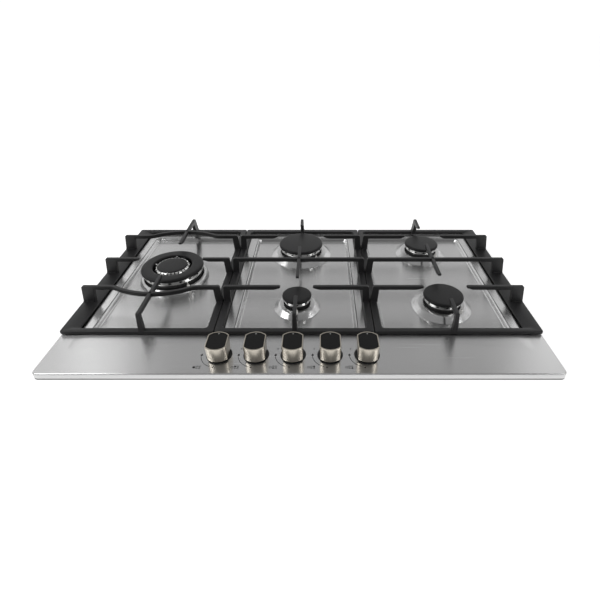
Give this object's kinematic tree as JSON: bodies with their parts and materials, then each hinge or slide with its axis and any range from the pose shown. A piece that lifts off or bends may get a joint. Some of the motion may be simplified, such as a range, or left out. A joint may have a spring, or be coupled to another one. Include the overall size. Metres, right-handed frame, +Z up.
{
  "type": "gas cooktop",
  "caption": "Built-in gas hob: brushed steel panel with pressed wells, cast iron pan supports, capped burners with flame slots, and push-and-turn knobs along the front.",
  "frame": {"origin": "centre of the panel's outline in the plane of the worktop, at the underside of the gasket", "axes": "+X to the user's right, +Y to the rear, +Z up"},
  "size_m": [0.86, 0.51, 0.103],
  "materials": {
    "brushed_panel": "fine horizontal brushing, satin",
    "galvanised_steel": "galvanised, dull",
    "foam": "matt foam",
    "screw_steel": "zinc plated",
    "cast_aluminium": "die cast, machined bright",
    "brass": "machined",
    "ceramic": "white alumina, satin",
    "enamel": "gloss black enamel",
    "cast_iron": "matt black enamel",
    "rubber": "matt",
    "tube_aluminium": "drawn tube",
    "knob_metal": "satin champagne nickel",
    "black_plastic": "moulded"
  },
  "bodies": {
    "hob": {"hob_panel": "brushed_panel", "worktop_gasket": "foam", "bottom_tray": "galvanised_steel", "fixing_brackets": "galvanised_steel", "bracket_screws": "screw_steel", "burner_cups": "cast_aluminium", "gas_injectors": "brass", "spark_electrodes": "ceramic", "burner_crowns": "cast_aluminium", "burner_bridges": "galvanised_steel", "gas_taps": "cast_aluminium", "gas_pipes": "tube_aluminium", "gas_rail": "galvanised_steel", "spark_generator": "black_plastic", "ignition_switches": "black_plastic", "mains_terminal_box": "black_plastic"},
    "pan_support_left": {"pan_support_left": "cast_iron", "pan_support_feet_left": "rubber"},
    "pan_support_centre": {"pan_support_centre": "cast_iron", "pan_support_feet_centre": "rubber"},
    "pan_support_right": {"pan_support_right": "cast_iron", "pan_support_feet_right": "rubber"},
    "wok_ring_cap": {"wok_ring_cap": "enamel"},
    "wok_inner_cap": {"wok_inner_cap": "enamel"},
    "rapid_cap": {"rapid_cap": "enamel"},
    "auxiliary_cap": {"auxiliary_cap": "enamel"},
    "semi_rear_cap": {"semi_rear_cap": "enamel"},
    "semi_front_cap": {"semi_front_cap": "enamel"},
    "tap_stem_1": {"tap_stem_1": "brass"},
    "knob_1": {"knob_1": "knob_metal"},
    "tap_stem_2": {"tap_stem_2": "brass"},
    "knob_2": {"knob_2": "knob_metal"},
    "tap_stem_3": {"tap_stem_3": "brass"},
    "knob_3": {"knob_3": "knob_metal"},
    "tap_stem_4": {"tap_stem_4": "brass"},
    "knob_4": {"knob_4": "knob_metal"},
    "tap_stem_5": {"tap_stem_5": "brass"},
    "knob_5": {"knob_5": "knob_metal"}
  },
  "joints": [
    {"name": "lift_pan_support_left", "type": "slide", "parent": "hob", "child": "pan_support_left", "axis": [0, 0, 1], "range_m": [0, 0.12]},
    {"name": "lift_pan_support_centre", "type": "slide", "parent": "hob", "child": "pan_support_centre", "axis": [0, 0, 1], "range_m": [0, 0.12]},
    {"name": "lift_pan_support_right", "type": "slide", "parent": "hob", "child": "pan_support_right", "axis": [0, 0, 1], "range_m": [0, 0.12]},
    {"name": "lift_wok_ring_cap", "type": "slide", "parent": "hob", "child": "wok_ring_cap", "axis": [0, 0, 1], "range_m": [0, 0.04]},
    {"name": "lift_wok_inner_cap", "type": "slide", "parent": "hob", "child": "wok_inner_cap", "axis": [0, 0, 1], "range_m": [0, 0.04]},
    {"name": "lift_rapid_cap", "type": "slide", "parent": "hob", "child": "rapid_cap", "axis": [0, 0, 1], "range_m": [0, 0.04]},
    {"name": "lift_auxiliary_cap", "type": "slide", "parent": "hob", "child": "auxiliary_cap", "axis": [0, 0, 1], "range_m": [0, 0.04]},
    {"name": "lift_semi_rear_cap", "type": "slide", "parent": "hob", "child": "semi_rear_cap", "axis": [0, 0, 1], "range_m": [0, 0.04]},
    {"name": "lift_semi_front_cap", "type": "slide", "parent": "hob", "child": "semi_front_cap", "axis": [0, 0, 1], "range_m": [0, 0.04]},
    {"name": "turn_knob_1", "type": "hinge", "parent": "hob", "child": "tap_stem_1", "pos_m": [-0.136, -0.21, 0], "axis": [0, 0, 1], "range_deg": [0, 170]},
    {"name": "push_knob_1", "type": "slide", "parent": "tap_stem_1", "child": "knob_1", "axis": [0, 0, -1], "range_m": [0, 0.003], "stiffness_N_per_m": 2000, "springref_m": -0.003},
    {"name": "turn_knob_2", "type": "hinge", "parent": "hob", "child": "tap_stem_2", "pos_m": [-0.074, -0.21, 0], "axis": [0, 0, 1], "range_deg": [0, 170]},
    {"name": "push_knob_2", "type": "slide", "parent": "tap_stem_2", "child": "knob_2", "axis": [0, 0, -1], "range_m": [0, 0.003], "stiffness_N_per_m": 2000, "springref_m": -0.003},
    {"name": "turn_knob_3", "type": "hinge", "parent": "hob", "child": "tap_stem_3", "pos_m": [-0.012, -0.21, 0], "axis": [0, 0, 1], "range_deg": [0, 170]},
    {"name": "push_knob_3", "type": "slide", "parent": "tap_stem_3", "child": "knob_3", "axis": [0, 0, -1], "range_m": [0, 0.003], "stiffness_N_per_m": 2000, "springref_m": -0.003},
    {"name": "turn_knob_4", "type": "hinge", "parent": "hob", "child": "tap_stem_4", "pos_m": [0.05, -0.21, 0], "axis": [0, 0, 1], "range_deg": [0, 170]},
    {"name": "push_knob_4", "type": "slide", "parent": "tap_stem_4", "child": "knob_4", "axis": [0, 0, -1], "range_m": [0, 0.003], "stiffness_N_per_m": 2000, "springref_m": -0.003},
    {"name": "turn_knob_5", "type": "hinge", "parent": "hob", "child": "tap_stem_5", "pos_m": [0.112, -0.21, 0], "axis": [0, 0, 1], "range_deg": [0, 170]},
    {"name": "push_knob_5", "type": "slide", "parent": "tap_stem_5", "child": "knob_5", "axis": [0, 0, -1], "range_m": [0, 0.003], "stiffness_N_per_m": 2000, "springref_m": -0.003}
  ]
}
